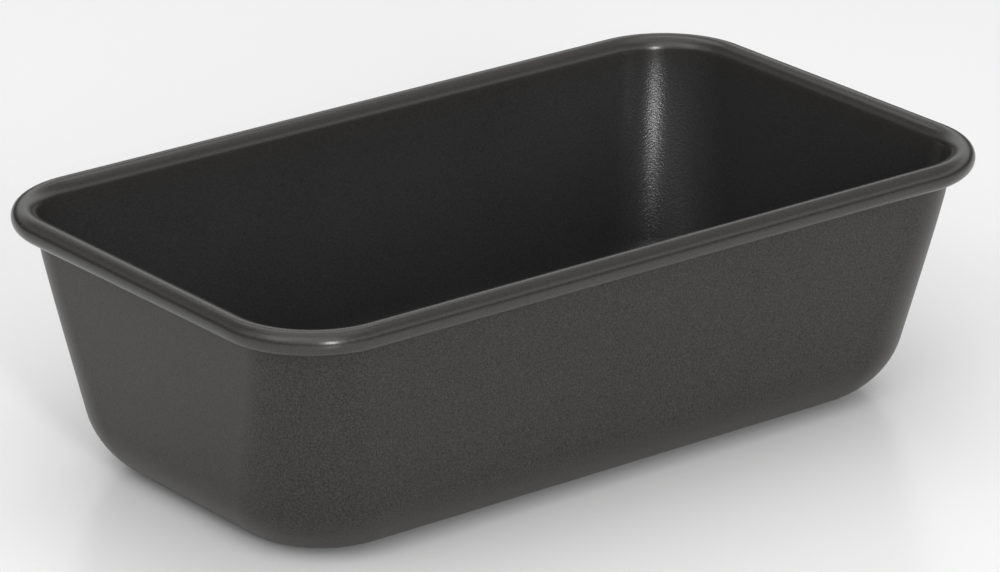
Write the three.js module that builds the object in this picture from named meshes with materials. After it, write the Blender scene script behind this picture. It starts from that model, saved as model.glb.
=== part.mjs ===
// A loaf-shaped rectangular cake pan: one drawn sheet whose rim is curled outward round a wire,
// with a non-stick lining on the food side. Millimetres, +Z up, X along the length.
// The origin is the middle of the underside.
import * as THREE from 'three';

// Driving dimensions
const OPENING_LENGTH = 228.6; // between the inner edges of the lip, along X
const OPENING_WIDTH = 128.6; // between the inner edges of the lip, along Y
const OPENING_CORNER_RADIUS = 20.3; // in plan, at the inner edge of the lip
const HEIGHT = 73; // underside to the top of the bead
const END_DRAFT = 7.2; // lean of the two short walls, degrees
const SIDE_DRAFT = 9.2; // lean of the two long walls, degrees
const BASE_CORNER_RADIUS = 30; // in plan, of the outer walls carried down to the base plane
const FOOT_RADIUS = 19.5; // outside, from wall to base
const SHEET = 1.5;
const LINING = 0.05;
const LIP_RADIUS = 4.2; // food side, from the wall over to the top of the bead
const WIRE_DIAMETER = 3.4;
const WIRE_CLEARANCE = 0.15; // between the wire and the curl around it
const WIRE_END_GAP = 3; // between the two ends of the wire
const CUT_EDGE_GAP = 0.5; // between the curl's cut edge and the wall
const FLOOR_CORNER_LEAST = 2; // smallest plan radius that the foot may leave on the flat floor

// Facets
const CORNER_DIVISIONS = 4; // a quarter round takes two facets for each
const LIP_STEPS = 5;
const CURL_STEPS = 12;
const FOOT_STEPS = 6;
const WIRE_SIDES = 10;

// The curl, as radii about the centre of the wire
const curlInside = WIRE_DIAMETER / 2 + WIRE_CLEARANCE;
const curlOutside = curlInside + SHEET;
const beadRadius = curlOutside + LINING;

// The lip is rounder than the curl that follows it, by as much as its centre lies lower
const lipEase = Math.max(LIP_RADIUS - beadRadius, 0);

// The centre line of the bead, a rounded rectangle that every section is carried around
const beadHeight = HEIGHT - beadRadius;
const lineHalfLength = OPENING_LENGTH / 2 + beadRadius + lipEase;
const lineHalfWidth = OPENING_WIDTH / 2 + beadRadius + lipEase;
const lineCornerRadius = OPENING_CORNER_RADIUS + beadRadius + lipEase;

// The walls lean by the mean of the two drafts, and by half their difference more or less
const endSlope = Math.tan(THREE.MathUtils.degToRad(END_DRAFT));
const sideSlope = Math.tan(THREE.MathUtils.degToRad(SIDE_DRAFT));
const draft = Math.atan((endSlope + sideSlope) / 2);
const draftSpread = (sideSlope - endSlope) / 2;
const wallAngle = Math.PI - draft; // direction in which the food side of a wall faces
const wallGap = curlInside + lipEase * (1 - Math.sin(draft)); // from the wire's centre to the wall

// The corners grow rounder from the bead down to the base
const wallAtBase = -wallGap / Math.cos(draft) - beadHeight * Math.tan(draft);
const cornerGrowth = (BASE_CORNER_RADIUS - lineCornerRadius - wallAtBase) / beadHeight;

// The foot joins wall and floor, limited by the roundness of the base corners
const footReach = Math.tan((Math.PI / 2 - draft) / 2);
const footRadius = Math.min(FOOT_RADIUS, (BASE_CORNER_RADIUS - FLOOR_CORNER_LEAST) / footReach);
const footUp = footRadius - beadHeight;
const footOut = (wallGap + footRadius - footUp * Math.sin(wallAngle)) / Math.cos(wallAngle);

// The curl stops where its outer edge comes within the gap of the wall that it turns back to
const cutAngle = wallAngle + Math.acos((wallGap - CUT_EDGE_GAP) / beadRadius) - 2 * Math.PI;

// Points of an arc in the section plane: out from the bead's centre line, and up from it
function arc(out, up, radius, from, to, steps) {
  return Array.from({ length: steps + 1 }, (_, i) => {
    const angle = THREE.MathUtils.lerp(from, to, i / steps);
    return { out: out + radius * Math.cos(angle), up: up + radius * Math.sin(angle) };
  });
}

// One face of the sheet or lining, from the edge of the flat floor to the cut edge of the curl.
// The faces run parallel, so each is told apart by its radius in the curl alone.
function face(curlRadius) {
  const foot = arc(footOut, footUp, footRadius - (curlRadius - curlInside), -Math.PI / 2, -draft, FOOT_STEPS);
  const lip = arc(0, -lipEase, curlRadius + lipEase, wallAngle, Math.PI / 2, LIP_STEPS);
  const curl = arc(0, 0, curlRadius, Math.PI / 2, cutAngle, CURL_STEPS).slice(1);
  return [...foot.map((point) => ({ ...point, drop: -point.up })), ...lip, ...curl];
}

// The plan outline through a section point, as corner points in order, anticlockwise from above
function outline({ out, drop = 0 }) {
  const radius = lineCornerRadius + out + cornerGrowth * drop;
  const x = lineHalfLength + out + draftSpread * drop - radius;
  const y = lineHalfWidth + out - draftSpread * drop - radius;
  const path = new THREE.Path();
  path.absarc(-x, y, radius, Math.PI / 2, Math.PI);
  path.absarc(-x, -y, radius, Math.PI, Math.PI * 1.5);
  path.absarc(x, -y, radius, Math.PI * 1.5, Math.PI * 2);
  path.absarc(x, y, radius, 0, Math.PI / 2);
  return path.getPoints(CORNER_DIVISIONS);
}

// Plan points lifted to the height of a section point
function lift(points, { up }) {
  return points.map((point) => new THREE.Vector3(point.x, point.y, beadHeight + up));
}

// A closed solid through rows of points: each row is a closed loop, and the first and last are capped
function loft(rows) {
  const count = rows[0].length;
  const last = (rows.length - 1) * count;
  const index = [];
  for (let row = 0; row < last; row += count) {
    for (let column = 0; column < count; column += 1) {
      const here = row + column;
      const next = row + ((column + 1) % count);
      index.push(here, next, here + count, next, next + count, here + count);
    }
  }
  for (let column = 1; column < count - 1; column += 1) {
    index.push(0, column + 1, column);
    index.push(last, last + column, last + column + 1);
  }
  const geometry = new THREE.BufferGeometry().setFromPoints(rows.flat());
  geometry.setIndex(index);
  geometry.computeVertexNormals();
  return geometry;
}

// A layer of the pan between two faces, closed along the cut edge
function layer(outerRadius, foodRadius) {
  const section = [...face(outerRadius), ...face(foodRadius).reverse()];
  return loft(section.map((point) => lift(outline(point), point)));
}

function panShell() {
  return layer(curlInside, curlOutside);
}

function nonstickLining() {
  return layer(curlOutside, beadRadius);
}

// The wire starts and ends in the middle of the long side at +Y
function rimWire() {
  const section = arc(0, 0, WIRE_DIAMETER / 2, 0, -2 * Math.PI, WIRE_SIDES).slice(0, WIRE_SIDES);
  const strands = section.map((point) => {
    const corners = outline(point);
    const start = new THREE.Vector2(-WIRE_END_GAP / 2, corners[0].y);
    const end = new THREE.Vector2(WIRE_END_GAP / 2, corners[0].y);
    return lift([start, ...corners, end], point);
  });
  return loft(strands[0].map((_, station) => strands.map((strand) => strand[station])));
}

const anodised = new THREE.MeshStandardMaterial({ color: 0x4a4745, roughness: 0.5, metalness: 0.6 });
const nonstick = new THREE.MeshStandardMaterial({ color: 0x2b2a2a, roughness: 0.4, metalness: 0.1 });
const steel = new THREE.MeshStandardMaterial({ color: 0x9b9a97, roughness: 0.35, metalness: 1 });

function piece(name, geometry, material) {
  const mesh = new THREE.Mesh(geometry, material);
  mesh.name = name;
  return mesh;
}

const pan = new THREE.Group();
pan.add(piece('pan_shell', panShell(), anodised));
pan.add(piece('nonstick_lining', nonstickLining(), nonstick));
pan.add(piece('rim_wire', rimWire(), steel));

export default pan;
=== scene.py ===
"""Looks of a loaf-shaped rectangular cake pan: drawn sheet, non-stick lining, rim wire and studio."""

import math
from collections import namedtuple

import bmesh
import bpy
from bpy.props import FloatProperty, FloatVectorProperty, IntProperty, PointerProperty
from mathutils import Matrix, Vector


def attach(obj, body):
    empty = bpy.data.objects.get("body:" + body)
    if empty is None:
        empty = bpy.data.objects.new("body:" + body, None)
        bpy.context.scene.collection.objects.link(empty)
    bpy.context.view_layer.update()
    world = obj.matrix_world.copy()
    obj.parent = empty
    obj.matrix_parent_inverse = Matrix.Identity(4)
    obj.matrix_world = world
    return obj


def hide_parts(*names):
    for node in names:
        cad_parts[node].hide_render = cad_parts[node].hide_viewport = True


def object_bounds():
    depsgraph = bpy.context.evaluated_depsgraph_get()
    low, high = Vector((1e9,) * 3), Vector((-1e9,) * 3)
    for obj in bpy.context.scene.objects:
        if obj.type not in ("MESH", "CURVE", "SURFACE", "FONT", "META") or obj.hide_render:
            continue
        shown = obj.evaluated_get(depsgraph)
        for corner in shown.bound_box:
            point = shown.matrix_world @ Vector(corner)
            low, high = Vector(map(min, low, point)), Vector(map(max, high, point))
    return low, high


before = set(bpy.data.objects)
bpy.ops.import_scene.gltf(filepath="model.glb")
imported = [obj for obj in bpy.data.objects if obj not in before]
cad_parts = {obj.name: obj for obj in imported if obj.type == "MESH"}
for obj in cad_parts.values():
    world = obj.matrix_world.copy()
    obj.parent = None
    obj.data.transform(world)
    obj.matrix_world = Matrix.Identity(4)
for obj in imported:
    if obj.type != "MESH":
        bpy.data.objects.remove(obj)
CAD_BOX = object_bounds()
RIM_SPAN = CAD_BOX[1] - CAD_BOX[0]

bl_info = {
    "name": "Loaf-shaped Cake Pan",
    "version": (1, 0, 0),
    "blender": (4, 5, 0),
    "location": "3D View > Sidebar > Cake Pan",
    "description": "Builds a deep rectangular cake pan with a rolled rim, and a studio around it",
    "category": "Add Mesh",
}

BODY = "root"


# Properties that a user would change

LENGTH_DIGITS = 5  # decimals of a metre that the panel shows


def length(name, description, default):
    """A length in metres."""
    return FloatProperty(
        name=name, description=description, default=default, min=0, precision=LENGTH_DIGITS, unit="LENGTH"
    )


def angle(name, description, degrees):
    """An angle, given in degrees and kept in radians."""
    return FloatProperty(name=name, description=description, default=math.radians(degrees), subtype="ANGLE")


def share(name, description, default):
    """A number from 0 to 1."""
    return FloatProperty(name=name, description=description, default=default, min=0, max=1, subtype="FACTOR")


def colour(name, description, default):
    """A linear colour."""
    return FloatVectorProperty(
        name=name, description=description, default=default, min=0, max=1, subtype="COLOR"
    )


class PanSizes(bpy.types.PropertyGroup):
    """Sizes of the pan"""

    rim_length: length("Rim Length", "Over the bead, along the pan", RIM_SPAN.x)
    rim_width: length("Rim Width", "Over the bead, across the pan", RIM_SPAN.y)
    height: length("Height", "From the underside to the top of the bead", RIM_SPAN.z)
    opening_corner: length("Opening Corner", "Plan radius of the corners, inside the lip", 0.0203)
    base_corner: length("Base Corner", "Plan radius of the walls' corners at the base", 0.03)
    foot_radius: length("Foot Radius", "Curve from wall to base, on the outside", 0.0195)
    end_draft: angle("End Draft", "Lean of the two short walls", 7.2)
    side_draft: angle("Side Draft", "Lean of the two long walls", 9.2)
    sheet: length("Sheet", "Thickness of the sheet", 0.0015)
    lining: length("Lining", "Thickness of the non-stick coat", 0.00005)
    lip_radius: length("Lip Radius", "Food side, from the wall over to the top of the bead", 0.0042)
    wire_diameter: length("Wire Diameter", "Thickness of the wire in the rim", 0.0034)
    wire_clearance: length("Wire Clearance", "Between the wire and the curl", 0.00015)
    wire_end_gap: length("Wire End Gap", "Between the two ends of the wire", 0.003)
    cut_edge_gap: length("Cut Edge Gap", "Between the curl's cut edge and the wall", 0.0005)
    corner_blend: length("Corner Blend", "Below the bead, where the corners start to grow", 0.012)
    corner_steps: IntProperty(name="Corner Steps", description="Faces round each corner", default=24, min=4)
    side_steps: IntProperty(name="Side Steps", description="Faces along each side", default=20, min=4)


class PanFinish(bpy.types.PropertyGroup):
    """Colours and finishes of the pan"""

    sheet_colour: colour("Sheet", "Dark skin of the sheet", (0.0302, 0.0275, 0.0248))
    sheet_roughness: share("Sheet Roughness", "Gloss of the outside", 0.37)
    coat_colour: colour("Coat", "Non-stick coat", (0.0285, 0.0283, 0.0282))
    coat_roughness: share("Coat Roughness", "Gloss of the inside", 0.23)
    bead_colour: colour("Bead", "Coat where the curl has stretched it", (0.0303, 0.0286, 0.0267))
    bead_roughness: share("Bead Roughness", "Gloss of the coat where the curl has stretched it", 0.24)
    wire_colour: colour("Wire", "Bare drawn steel", (0.45, 0.44, 0.42))


class StudioLook(bpy.types.PropertyGroup):
    """Floor and lights"""

    floor_colour: colour("Floor", "Pale table", (0.92, 0.92, 0.92))
    light: share("Light", "All studio lights together, as a share of their full power", 1)
    room: share("Room", "Light of the room, as a share of its full brightness", 1)


# Short forms for node trees

def feed(tree, socket, value):
    """Links a term or socket to an input, or sets the input to a plain value."""
    if isinstance(value, Term):
        value = value.socket
    if isinstance(value, bpy.types.NodeSocket):
        tree.links.new(value, socket)
    else:
        socket.default_value = value


def add_node(tree, kind, inputs=(), **settings):
    """Adds a node with its settings, and feeds the inputs that are given by name or number."""
    node = tree.nodes.new(kind)
    for name, value in settings.items():
        setattr(node, name, value)
    for key, value in dict(inputs).items():
        feed(tree, node.inputs[key], value)
    return node


class Term:
    """A number in a node tree. Arithmetic with it adds Math nodes."""

    def __init__(self, tree, socket):
        self.tree = tree
        self.socket = socket

    def math(self, operation, *others):
        node = add_node(self.tree, "ShaderNodeMath", enumerate((self, *others)), operation=operation)
        return Term(self.tree, node.outputs[0])

    def __add__(self, other):
        return self.math("ADD", other)

    def __sub__(self, other):
        return self.math("SUBTRACT", other)

    def __mul__(self, other):
        return self.math("MULTIPLY", other)

    def __truediv__(self, other):
        return self.math("DIVIDE", other)


# The section of the pan

SectionPoint = namedtuple("SectionPoint", "out up drop bead")

FOOT_STEPS = 16
WALL_STEPS = 14
LIP_STEPS = 14
CURL_STEPS = 36
WIRE_ROUND_STEPS = 24
FLOOR_SUPPORT = 0.0008  # from the foot curve to the first ring of the flat floor
BEAD_FADE = 0.006  # length of wall over which the bead's finish fades out


def blend(start, end, part):
    """The value at this part of the way from start to end."""
    return start + (end - start) * part


def eased(steps):
    """Shares from 0 to 1 that lie closer together near both ends."""
    return [(1 - math.cos(math.pi * i / steps)) / 2 for i in range(steps + 1)]


def arc(out, up, radius, start, end, steps):
    """Points of an arc in the section plane, as pairs of out and up."""
    turns = [blend(start, end, i / steps) for i in range(steps + 1)]
    return [(out + radius * math.cos(turn), up + radius * math.sin(turn)) for turn in turns]


class PanShape:
    """Lines and angles that follow from the sizes of the pan. Out and up start at the bead's centre."""

    def __init__(self, sizes):
        self.curl_inside = sizes.wire_diameter / 2 + sizes.wire_clearance
        self.curl_outside = self.curl_inside + sizes.sheet
        self.bead_radius = self.curl_outside + sizes.lining
        self.bead_height = sizes.height - self.bead_radius
        self.half_length = sizes.rim_length / 2 - self.bead_radius
        self.half_width = sizes.rim_width / 2 - self.bead_radius
        self.lip_ease = max(sizes.lip_radius - self.bead_radius, 0)
        self.corner = sizes.opening_corner + self.bead_radius + self.lip_ease
        end_slope = math.tan(sizes.end_draft)
        side_slope = math.tan(sizes.side_draft)
        self.draft = math.atan((end_slope + side_slope) / 2)
        self.spread = (side_slope - end_slope) / 2
        self.wall_angle = math.pi - self.draft
        wall_gap = self.curl_inside + self.lip_ease * (1 - math.sin(self.draft))
        wall_at_base = -wall_gap / math.cos(self.draft) - self.bead_height * math.tan(self.draft)
        self.growth = (sizes.base_corner - self.corner - wall_at_base) / self.bead_height
        self.foot_radius = sizes.foot_radius
        self.foot_up = self.foot_radius - self.bead_height
        reach = wall_gap + self.foot_radius - self.foot_up * math.sin(self.wall_angle)
        self.foot_out = reach / math.cos(self.wall_angle)
        edge = math.acos((wall_gap - sizes.cut_edge_gap) / self.bead_radius)
        self.cut_angle = self.wall_angle + edge - 2 * math.pi
        self.corner_blend = sizes.corner_blend

    def soft_drop(self, drop):
        """Drop below the bead that sets in softly and still reaches its full value at the base."""
        def eased_in(value):
            return math.hypot(value, self.corner_blend) - self.corner_blend
        return eased_in(drop) * self.bead_height / eased_in(self.bead_height)

    def face(self, curl_radius):
        """One face of the sheet or lining, from the middle of the floor to the cut edge."""
        radius = self.foot_radius - (curl_radius - self.curl_inside)
        foot = arc(self.foot_out, self.foot_up, radius, -math.pi / 2, -self.draft, FOOT_STEPS)
        curl = arc(0, -self.lip_ease, curl_radius + self.lip_ease, self.wall_angle, math.pi / 2, LIP_STEPS)
        curl += arc(0, 0, curl_radius, math.pi / 2, self.cut_angle, CURL_STEPS)[1:]
        floor_up = foot[0][1]
        floor_drop = self.soft_drop(-floor_up)
        floor_middle = self.spread * floor_drop - self.half_width
        floor_outs = (floor_middle, self.foot_out - FLOOR_SUPPORT)
        points = [SectionPoint(out, floor_up, floor_drop, 0) for out in floor_outs]
        points += [SectionPoint(out, up, self.soft_drop(-up), 0) for out, up in foot]
        wall_length = math.dist(foot[-1], curl[0])
        for part in eased(WALL_STEPS)[1:-1]:
            out = blend(foot[-1][0], curl[0][0], part)
            up = blend(foot[-1][1], curl[0][1], part)
            drop = self.soft_drop(blend(-foot[-1][1], 0, part))
            bead = max(0, 1 - wall_length * (1 - part) / BEAD_FADE)
            points.append(SectionPoint(out, up, drop, bead))
        points += [SectionPoint(out, up, 0, 1) for out, up in curl]
        return points

    def layer(self, outer_radius, food_radius):
        """Closed section between two faces, joined along the cut edge."""
        return self.face(outer_radius) + self.face(food_radius)[::-1]


def section_object(name, points):
    """An object whose points are the section, with what the node tree needs to know at each."""
    mesh = bpy.data.meshes.new(name)
    mesh.from_pydata([(point.out, 0, point.up) for point in points], [], [])
    for label in ("drop", "bead"):
        values = [getattr(point, label) for point in points]
        mesh.attributes.new(label, "FLOAT", "POINT").data.foreach_set("value", values)
    piece = bpy.data.objects.new(name, mesh)
    bpy.context.scene.collection.objects.link(piece)
    return piece


# Node trees that give the pieces their shape

RIM_SIDES = 4
QUARTER_TURN = math.pi / 2
CORNER_REACH = math.sqrt(2)  # from the middle of a square to its corner, in halves of its side
SHARP_ANGLE = math.radians(40)
MERGE_DISTANCE = 0.000001


def open_tree(name, sockets):
    """A geometry node tree with these inputs, and a term or socket for each of them."""
    tree = bpy.data.node_groups.new(name, "GeometryNodeTree")
    for label, kind in sockets.items():
        tree.interface.new_socket(name=label, in_out="INPUT", socket_type=kind)
    tree.interface.new_socket(name="Geometry", in_out="OUTPUT", socket_type="NodeSocketGeometry")
    outputs = tree.nodes.new("NodeGroupInput").outputs
    numbers = ("NodeSocketFloat", "NodeSocketInt")
    given = {
        label: Term(tree, outputs[label]) if kind in numbers else outputs[label]
        for label, kind in sockets.items()
    }
    return tree, given


def close_tree(tree, geometry, material):
    """Smooth shading with hard edges kept, real geometry and the material, then the output."""
    unsigned = Term(tree, add_node(tree, "GeometryNodeInputMeshEdgeAngle").outputs["Unsigned Angle"])
    sharp = unsigned.math("GREATER_THAN", SHARP_ANGLE)
    smooth = add_node(tree, "GeometryNodeSetShadeSmooth", {0: geometry, "Shade Smooth": True}, domain="FACE")
    hard = {0: smooth.outputs[0], "Selection": sharp, "Shade Smooth": False}
    edged = add_node(tree, "GeometryNodeSetShadeSmooth", hard, domain="EDGE")
    real = add_node(tree, "GeometryNodeRealizeInstances", {0: edged.outputs[0]})
    dressed = add_node(tree, "GeometryNodeSetMaterial", {0: real.outputs[0], "Material": material})
    add_node(tree, "NodeGroupOutput", {"Geometry": dressed.outputs[0]})
    return tree


def rim_sweep_tree():
    """Carries a section round the rounded rectangle of the rim, with corners that grow towards the base."""
    tree, given = open_tree("Section Round Rim", {
        "Section": "NodeSocketGeometry",
        "Half Length": "NodeSocketFloat",
        "Half Width": "NodeSocketFloat",
        "Corner": "NodeSocketFloat",
        "Corner Growth": "NodeSocketFloat",
        "Draft Spread": "NodeSocketFloat",
        "Bead Height": "NodeSocketFloat",
        "Corner Steps": "NodeSocketInt",
        "Side Steps": "NodeSocketInt",
        "Material": "NodeSocketMaterial",
    })
    section = given["Section"]

    # A sheet of faces: one row for each section point, one column for each station round the rim
    rows = Term(tree, add_node(tree, "GeometryNodeAttributeDomainSize", {0: section}).outputs["Point Count"])
    quarter = given["Corner Steps"] + given["Side Steps"]
    columns = quarter * RIM_SIDES + 1
    grid = add_node(tree, "GeometryNodeMeshGrid", {"Vertices X": columns, "Vertices Y": rows})
    index = Term(tree, add_node(tree, "GeometryNodeInputIndex").outputs[0])
    column = (index / rows).math("FLOOR")
    row = index - column * rows

    def sampled(value, data_type):
        inputs = {"Geometry": section, "Value": value, "Index": row}
        return add_node(tree, "GeometryNodeSampleIndex", inputs, data_type=data_type).outputs[0]

    def section_value(label):
        named = add_node(tree, "GeometryNodeInputNamedAttribute", {"Name": label}, data_type="FLOAT")
        return Term(tree, sampled(named.outputs["Attribute"], "FLOAT"))

    position = add_node(tree, "GeometryNodeInputPosition").outputs[0]
    point = add_node(tree, "ShaderNodeSeparateXYZ", {0: sampled(position, "FLOAT_VECTOR")})
    out = Term(tree, point.outputs["X"])
    up = Term(tree, point.outputs["Z"])
    drop = section_value("drop")

    # Each station: first round a corner, then along the side to the next one, closer together near both ends
    side = (column / quarter).math("FLOOR")
    step = column - side * quarter
    turned = (step / given["Corner Steps"]).math("MINIMUM", 1)
    walked = ((step - given["Corner Steps"]) / given["Side Steps"]).math("MAXIMUM", 0)
    along = (walked * math.pi).math("COSINE") * -0.5 + 0.5
    facing = (side + turned) * QUARTER_TURN

    def toward_corner(wave):
        diagonal = (side + 0.5) * QUARTER_TURN
        here = diagonal.math(wave) * CORNER_REACH
        there = (diagonal + QUARTER_TURN).math(wave) * CORNER_REACH
        return here + (there - here) * along

    def plan(out, drop):
        radius = (given["Corner"] + out + given["Corner Growth"] * drop).math("MAXIMUM", 0)
        lean = given["Draft Spread"] * drop
        x = given["Half Length"] + out + lean - radius
        y = given["Half Width"] + out - lean - radius
        return (
            x * toward_corner("COSINE") + radius * facing.math("COSINE"),
            y * toward_corner("SINE") + radius * facing.math("SINE"),
        )

    def vector(x, y, z):
        return add_node(tree, "ShaderNodeCombineXYZ", enumerate((x, y, z))).outputs[0]

    place = vector(*plan(out, drop), given["Bead Height"] + up)
    moved = add_node(tree, "GeometryNodeSetPosition", {"Geometry": grid.outputs["Mesh"], "Position": place})

    # What the finishes follow: the bead, and the place on the rim that a point was drawn from
    def stored(geometry, label, value, data_type):
        inputs = {"Geometry": geometry, "Name": label, "Value": value}
        return add_node(
            tree, "GeometryNodeStoreNamedAttribute", inputs, data_type=data_type, domain="POINT"
        ).outputs[0]

    rim_place = vector(*plan(out * 0, drop * 0), 0)
    marked = stored(moved.outputs[0], "bead", section_value("bead"), "FLOAT")
    marked = stored(marked, "rim_place", rim_place, "FLOAT_VECTOR")
    joined = add_node(tree, "GeometryNodeMergeByDistance", {"Geometry": marked, "Distance": MERGE_DISTANCE})
    return close_tree(tree, joined.outputs[0], given["Material"])


def wire_tree():
    """Rounds the corners of a path and gives it the thickness of a wire with closed ends."""
    tree, given = open_tree("Bent Wire", {
        "Path": "NodeSocketGeometry",
        "Corner": "NodeSocketFloat",
        "Corner Steps": "NodeSocketInt",
        "Radius": "NodeSocketFloat",
        "Round Steps": "NodeSocketInt",
        "Material": "NodeSocketMaterial",
    })
    path = add_node(tree, "GeometryNodeMeshToCurve", {0: given["Path"]})
    bends = {"Curve": path.outputs[0], "Count": given["Corner Steps"], "Radius": given["Corner"]}
    bent = add_node(tree, "GeometryNodeFilletCurve", bends, mode="POLY")
    ring = {"Resolution": given["Round Steps"], "Radius": given["Radius"]}
    circle = add_node(tree, "GeometryNodeCurvePrimitiveCircle", ring)
    solid = {"Curve": bent.outputs[0], "Profile Curve": circle.outputs["Curve"], "Fill Caps": True}
    wire = add_node(tree, "GeometryNodeCurveToMesh", solid)
    return close_tree(tree, wire.outputs[0], given["Material"])


def shape_piece(piece, tree, values):
    """Runs a node tree on an object with these inputs, and leaves the result as its plain mesh."""
    modifier = piece.modifiers.new(tree.name, "NODES")
    modifier.node_group = tree
    for item in tree.interface.items_tree:
        if item.in_out == "INPUT" and item.name in values:
            modifier[item.identifier] = values[item.name]
    depsgraph = bpy.context.evaluated_depsgraph_get()
    evaluated = piece.evaluated_get(depsgraph)
    mesh = bpy.data.meshes.new_from_object(evaluated, preserve_all_data_layers=True, depsgraph=depsgraph)
    if not mesh.polygons:
        raise RuntimeError(f"{piece.name} came out empty")
    piece.modifiers.clear()
    piece.data = mesh
    mesh.name = piece.name
    return piece


def settle(piece, node):
    """Puts a finished piece on the pan's body, in place of its node."""
    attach(piece, BODY)
    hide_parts(node)


# Finishes

# Unevenness of a surface: its lumps' width and depth in metres, and how far it changes colour and roughness
Mottle = namedtuple("Mottle", "size colour gloss depth detail fineness", defaults=(0, 0, 0, 2, 0.5))

SHEET_GRAIN = Mottle(size=0.00045, colour=3.4, gloss=0.2, depth=0.00006)
SHEET_CLOUD = Mottle(size=0.04, colour=0.16)
DRAWN_LINES = Mottle(size=0.003, colour=0.12, gloss=0.06, detail=4)
COAT_PEEL = Mottle(size=0.00055, colour=0.9, gloss=0.1, depth=0.000065, fineness=0.6)
COAT_CLOUD = Mottle(size=0.03, colour=0.2)
WIRE_LINES = Mottle(size=0.0003, colour=0.3, depth=0.000005, detail=3)
WIRE_DULLING = Mottle(size=0.006, colour=0.3, gloss=0.2)
FLOOR_CLOUD = Mottle(size=0.2, colour=0.03, gloss=0.1)
FLOOR_GRAIN = Mottle(size=0.0008, colour=0.03)
NOISE_MIDDLE = 0.5
SHEET_SPECULAR = 0.3
FLOOR_SPECULAR = 0.3
FLOOR_ROUGHNESS = 0.25
WIRE_ROUGHNESS = 0.32
BEAD_SMOOTHING = 0.9  # share of the coat's relief that the curl has stretched flat


def new_material(name):
    """A material with a fresh principled shader, and its tree and shader."""
    material = bpy.data.materials.new(name)
    material.use_nodes = True
    tree = material.node_tree
    return material, tree, tree.nodes["Principled BSDF"]


def object_place(tree):
    """The place of a point in its piece's own coordinates."""
    return add_node(tree, "ShaderNodeTexCoord").outputs["Object"]


def attribute(tree, label, output):
    """A value that the piece's mesh keeps at each point."""
    node = add_node(tree, "ShaderNodeAttribute", attribute_name=label)
    return node.outputs[output]


def noise(tree, place, mottle):
    """Noise from 0 to 1, with lumps as wide and as fine as the mottle asks."""
    inputs = {
        "Vector": place,
        "Scale": 1 / mottle.size,
        "Detail": mottle.detail,
        "Roughness": mottle.fineness,
    }
    return Term(tree, add_node(tree, "ShaderNodeTexNoise", inputs).outputs[0])


def swing(lumps, strength):
    """Noise from 0 to 1, as a change round zero of this strength."""
    return (lumps - NOISE_MIDDLE) * strength


def ramp(tree, value, stops):
    """A colour that runs through these stops, each a value from 0 to 1 and its colour."""
    node = add_node(tree, "ShaderNodeValToRGB", {0: value})
    elements = node.color_ramp.elements
    while len(elements) < len(stops):
        elements.new(1)
    for element, (position, tone) in zip(elements, stops):
        element.position = position
        element.color = (*tone, 1)
    return node.outputs["Color"]


def varied(tree, tone, change):
    """A colour, or a socket with one, made lighter or darker by a term that lies round zero."""
    whole = tone if isinstance(tone, bpy.types.NodeSocket) else (*tone, 1)
    inputs = {"Value": change + 1, "Color": whole}
    return add_node(tree, "ShaderNodeHueSaturation", inputs).outputs[0]


def bumped(tree, height, depth):
    """A normal that follows heights from 0 to 1 over this depth in metres."""
    return add_node(tree, "ShaderNodeBump", {"Height": height, "Distance": depth}).outputs[0]


def sheet_material(finish):
    """Dark satin skin of the sheet: fine grain, faint lines from drawing, slight clouding."""
    material, tree, shader = new_material("Anodised sheet")
    place = object_place(tree)
    grain = noise(tree, place, SHEET_GRAIN)
    cloud = noise(tree, place, SHEET_CLOUD)
    lines = noise(tree, attribute(tree, "rim_place", "Vector"), DRAWN_LINES)
    change = swing(grain, SHEET_GRAIN.colour) + swing(cloud, SHEET_CLOUD.colour)
    change = change + swing(lines, DRAWN_LINES.colour)
    feed(tree, shader.inputs["Base Color"], varied(tree, finish.sheet_colour, change))
    uneven = swing(grain, SHEET_GRAIN.gloss) + swing(lines, DRAWN_LINES.gloss)
    feed(tree, shader.inputs["Roughness"], uneven + finish.sheet_roughness)
    feed(tree, shader.inputs["Normal"], bumped(tree, grain, SHEET_GRAIN.depth))
    shader.inputs["Specular IOR Level"].default_value = SHEET_SPECULAR
    return material


def coat_material(finish):
    """Near-black coat: a sparkling orange-peel skin, smoother and a little warmer on the bead."""
    material, tree, shader = new_material("Non-stick coat")
    place = object_place(tree)
    bead = Term(tree, attribute(tree, "bead", "Fac"))
    peel = noise(tree, place, COAT_PEEL)
    cloud = noise(tree, place, COAT_CLOUD)
    change = swing(peel, COAT_PEEL.colour) + swing(cloud, COAT_CLOUD.colour)
    tone = ramp(tree, bead, ((0, finish.coat_colour), (1, finish.bead_colour)))
    feed(tree, shader.inputs["Base Color"], varied(tree, tone, change))
    rough = bead * (finish.bead_roughness - finish.coat_roughness) + finish.coat_roughness
    feed(tree, shader.inputs["Roughness"], rough + swing(peel, COAT_PEEL.gloss))
    relief = peel * (bead * -BEAD_SMOOTHING + 1)
    feed(tree, shader.inputs["Normal"], bumped(tree, relief, COAT_PEEL.depth))
    return material


def wire_material(finish):
    """Bare drawn steel with fine lines and a little dulling."""
    material, tree, shader = new_material("Rim wire steel")
    place = object_place(tree)
    lines = noise(tree, place, WIRE_LINES)
    dull = noise(tree, place, WIRE_DULLING)
    change = swing(lines, WIRE_LINES.colour) + swing(dull, WIRE_DULLING.colour)
    feed(tree, shader.inputs["Base Color"], varied(tree, finish.wire_colour, change))
    feed(tree, shader.inputs["Roughness"], swing(dull, WIRE_DULLING.gloss) + WIRE_ROUGHNESS)
    feed(tree, shader.inputs["Normal"], bumped(tree, lines, WIRE_LINES.depth))
    shader.inputs["Metallic"].default_value = 1
    return material


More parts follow.
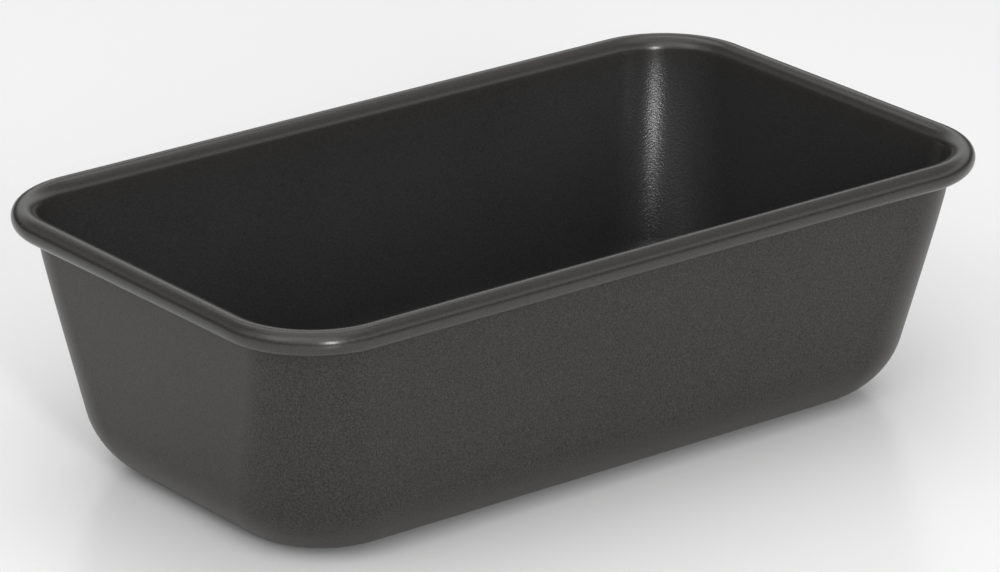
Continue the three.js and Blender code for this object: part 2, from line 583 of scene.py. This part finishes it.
def floor_material(look):
    """Pale table with a slight gloss."""
    material, tree, shader = new_material("Pale table")
    place = object_place(tree)
    cloud = noise(tree, place, FLOOR_CLOUD)
    grain = noise(tree, place, FLOOR_GRAIN)
    change = swing(cloud, FLOOR_CLOUD.colour) + swing(grain, FLOOR_GRAIN.colour)
    feed(tree, shader.inputs["Base Color"], varied(tree, look.floor_colour, change))
    feed(tree, shader.inputs["Roughness"], swing(cloud, FLOOR_CLOUD.gloss) + FLOOR_ROUGHNESS)
    shader.inputs["Specular IOR Level"].default_value = FLOOR_SPECULAR
    return material


# The studio

IMAGE_WIDTH = 1000
FOCAL_PIXELS = 5819.85
SENSOR_WIDTH = 36
CAMERA_AZIMUTH = math.radians(-38.03)
CAMERA_ELEVATION = math.radians(20.86)
CAMERA_DISTANCE = 1.5695
CAMERA_AIM_RIGHT = 0.000068
CAMERA_AIM_UP = 0.00352
FLOOR_RADIUS = 7
FLOOR_SIDES = 96


def add_camera():
    """Camera at the photograph's angle and distance."""
    flat = math.cos(CAMERA_ELEVATION)
    right = Vector((math.cos(CAMERA_AZIMUTH), math.sin(CAMERA_AZIMUTH), 0))
    back = Vector((right.y * flat, -right.x * flat, math.sin(CAMERA_ELEVATION)))
    above = back.cross(right)
    aim = (CAD_BOX[0] + CAD_BOX[1]) / 2 + right * CAMERA_AIM_RIGHT + above * CAMERA_AIM_UP
    data = bpy.data.cameras.new("Camera")
    data.sensor_fit = "HORIZONTAL"
    data.sensor_width = SENSOR_WIDTH
    data.lens = FOCAL_PIXELS * SENSOR_WIDTH / IMAGE_WIDTH
    camera = bpy.data.objects.new("Camera", data)
    turn = Matrix((right, above, back)).transposed().to_4x4()
    camera.matrix_world = Matrix.Translation(aim + back * CAMERA_DISTANCE) @ turn
    bpy.context.scene.collection.objects.link(camera)
    bpy.context.scene.camera = camera


StudioLight = namedtuple("StudioLight", "name azimuth elevation distance width height watts")

# Angles in degrees, lengths in metres; azimuth is counted from the front of the pan towards its left end
STUDIO_LIGHTS = (
    StudioLight("Key", 20.6, 18.4, 2.5, 0.29, 0.67, 21),
    StudioLight("Fill", 50, 48, 2.5, 3.2, 1.4, 20),
    StudioLight("Left", 95, 38, 2.5, 2.0, 1.35, 6),
    StudioLight("Back", -155, 58, 1.1, 0.7, 0.4, 1.0),
)

# Brightness of the room at elevations in degrees: dark at the floor, light walls, dim above, a light ceiling
ROOM_GLOW = ((10, 0.0), (18, 1.1), (27, 1.1), (36, 0.36), (54, 0.36), (66, 1.2))
DIM_SIDE = Vector((-0.77, 0.64, 0))  # the room's darker side, behind the left end of the pan
DIM_FROM = 0.3  # how far towards that side the room starts to darken, along DIM_SIDE
DIM_FULL = 0.8  # how far towards that side it is darkest
DIM_SHARE = 0.4  # of the room's light, left on the darker side
LIGHT_AIM = Vector((0, 0, 0.04))


def add_light(spec, scale):
    """Soft rectangular light, turned to the pan."""
    data = bpy.data.lights.new(spec.name, "AREA")
    data.shape = "RECTANGLE"
    data.size = spec.width
    data.size_y = spec.height
    data.energy = spec.watts * scale
    light = bpy.data.objects.new(spec.name, data)
    turn = math.radians(spec.azimuth)
    rise = math.radians(spec.elevation)
    reach = spec.distance * math.cos(rise)
    light.location = (-reach * math.sin(turn), -reach * math.cos(turn), spec.distance * math.sin(rise))
    light.rotation_euler = (LIGHT_AIM - light.location).to_track_quat("-Z", "Y").to_euler()
    light.visible_camera = False
    bpy.context.scene.collection.objects.link(light)


def add_floor(look):
    """Round pale floor, wide enough for every view."""
    mesh = bpy.data.meshes.new("Floor")
    form = bmesh.new()
    bmesh.ops.create_circle(form, cap_ends=True, segments=FLOOR_SIDES, radius=FLOOR_RADIUS)
    form.to_mesh(mesh)
    form.free()
    mesh.materials.append(floor_material(look))
    floor = bpy.data.objects.new("Floor", mesh)
    bpy.context.scene.collection.objects.link(floor)


def add_room(look):
    """Light of the room around the lights, which changes with height and is dimmer on one side."""
    world = bpy.data.worlds.new("Room")
    world.use_nodes = True
    tree = world.node_tree
    direction = add_node(tree, "ShaderNodeTexCoord").outputs["Generated"]
    height = add_node(tree, "ShaderNodeSeparateXYZ", {0: direction}).outputs["Z"]
    stops = [(math.sin(math.radians(elevation)), (glow, glow, glow)) for elevation, glow in ROOM_GLOW]
    toward = {0: direction, 1: DIM_SIDE}
    side = add_node(tree, "ShaderNodeVectorMath", toward, operation="DOT_PRODUCT").outputs["Value"]
    fade = {
        "Value": side,
        "From Min": DIM_FROM,
        "From Max": DIM_FULL,
        "To Min": look.room,
        "To Max": look.room * DIM_SHARE,
    }
    strength = add_node(tree, "ShaderNodeMapRange", fade, interpolation_type="SMOOTHSTEP")
    background = tree.nodes["Background"]
    feed(tree, background.inputs["Color"], ramp(tree, height, stops))
    feed(tree, background.inputs["Strength"], strength.outputs["Result"])
    bpy.context.scene.world = world


# Operators

class PAN_OT_stage(bpy.types.Operator):
    """Set up the camera, the pale floor and the lights"""

    bl_idname = "pan.stage"
    bl_label = "Stage"

    def execute(self, context):
        look = context.scene.studio_look
        add_camera()
        add_floor(look)
        add_room(look)
        for spec in STUDIO_LIGHTS:
            add_light(spec, look.light)
        context.scene.view_settings.view_transform = "Standard"
        return {"FINISHED"}


def sweep_layer(context, name, section, material):
    """A layer of the pan carried round the rim, as a plain mesh."""
    sizes = context.scene.pan_sizes
    shape = PanShape(sizes)
    return shape_piece(section_object(name, section), rim_sweep_tree(), {
        "Half Length": shape.half_length,
        "Half Width": shape.half_width,
        "Corner": shape.corner,
        "Corner Growth": shape.growth,
        "Draft Spread": shape.spread,
        "Bead Height": shape.bead_height,
        "Corner Steps": sizes.corner_steps,
        "Side Steps": sizes.side_steps,
        "Material": material,
    })


class PAN_OT_shell(bpy.types.Operator):
    """Draw the sheet: floor, walls and the curl of the rim"""

    bl_idname = "pan.shell"
    bl_label = "Pan Shell"

    def execute(self, context):
        shape = PanShape(context.scene.pan_sizes)
        section = shape.layer(shape.curl_inside, shape.curl_outside)
        material = sheet_material(context.scene.pan_finish)
        settle(sweep_layer(context, "Drawn_sheet", section, material), "pan_shell")
        return {"FINISHED"}


class PAN_OT_lining(bpy.types.Operator):
    """Coat the food side, over the lip and round the curl"""

    bl_idname = "pan.lining"
    bl_label = "Non-stick Lining"

    def execute(self, context):
        shape = PanShape(context.scene.pan_sizes)
        section = shape.layer(shape.curl_outside, shape.bead_radius)
        material = coat_material(context.scene.pan_finish)
        settle(sweep_layer(context, "Coat", section, material), "nonstick_lining")
        return {"FINISHED"}


class PAN_OT_wire(bpy.types.Operator):
    """Bend the wire that stiffens the rim"""

    bl_idname = "pan.wire"
    bl_label = "Rim Wire"

    def execute(self, context):
        sizes = context.scene.pan_sizes
        shape = PanShape(sizes)
        half_length = shape.half_length
        half_width = shape.half_width
        half_gap = sizes.wire_end_gap / 2
        corners = [
            (-half_gap, half_width),
            (-half_length, half_width),
            (-half_length, -half_width),
            (half_length, -half_width),
            (half_length, half_width),
            (half_gap, half_width),
        ]
        mesh = bpy.data.meshes.new("Wire")
        edges = [(i, i + 1) for i in range(len(corners) - 1)]
        mesh.from_pydata([(x, y, shape.bead_height) for x, y in corners], edges, [])
        path = bpy.data.objects.new("Wire", mesh)
        context.scene.collection.objects.link(path)
        wire = shape_piece(path, wire_tree(), {
            "Corner": shape.corner,
            "Corner Steps": sizes.corner_steps,
            "Radius": sizes.wire_diameter / 2,
            "Round Steps": WIRE_ROUND_STEPS,
            "Material": wire_material(context.scene.pan_finish),
        })
        settle(wire, "rim_wire")
        return {"FINISHED"}


class PAN_PT_sidebar(bpy.types.Panel):
    """Sizes, finishes and the steps that build the pan"""

    bl_idname = "PAN_PT_sidebar"
    bl_label = "Cake Pan"
    bl_space_type = "VIEW_3D"
    bl_region_type = "UI"
    bl_category = "Cake Pan"

    def draw(self, context):
        for operator in OPERATORS:
            self.layout.operator(operator.bl_idname)
        for group in (context.scene.pan_sizes, context.scene.pan_finish, context.scene.studio_look):
            box = self.layout.box()
            for label in group.__annotations__:
                box.prop(group, label)


GROUPS = (PanSizes, PanFinish, StudioLook)
OPERATORS = (PAN_OT_stage, PAN_OT_shell, PAN_OT_lining, PAN_OT_wire)
CLASSES = (*GROUPS, *OPERATORS, PAN_PT_sidebar)


def register():
    for kind in CLASSES:
        bpy.utils.register_class(kind)
    bpy.types.Scene.pan_sizes = PointerProperty(type=PanSizes)
    bpy.types.Scene.pan_finish = PointerProperty(type=PanFinish)
    bpy.types.Scene.studio_look = PointerProperty(type=StudioLook)


def unregister():
    del bpy.types.Scene.studio_look
    del bpy.types.Scene.pan_finish
    del bpy.types.Scene.pan_sizes
    for kind in reversed(CLASSES):
        bpy.utils.unregister_class(kind)


def main():
    register()
    bpy.ops.pan.stage()
    bpy.ops.pan.shell()
    bpy.ops.pan.lining()
    bpy.ops.pan.wire()


if __name__ == "__main__":
    main()
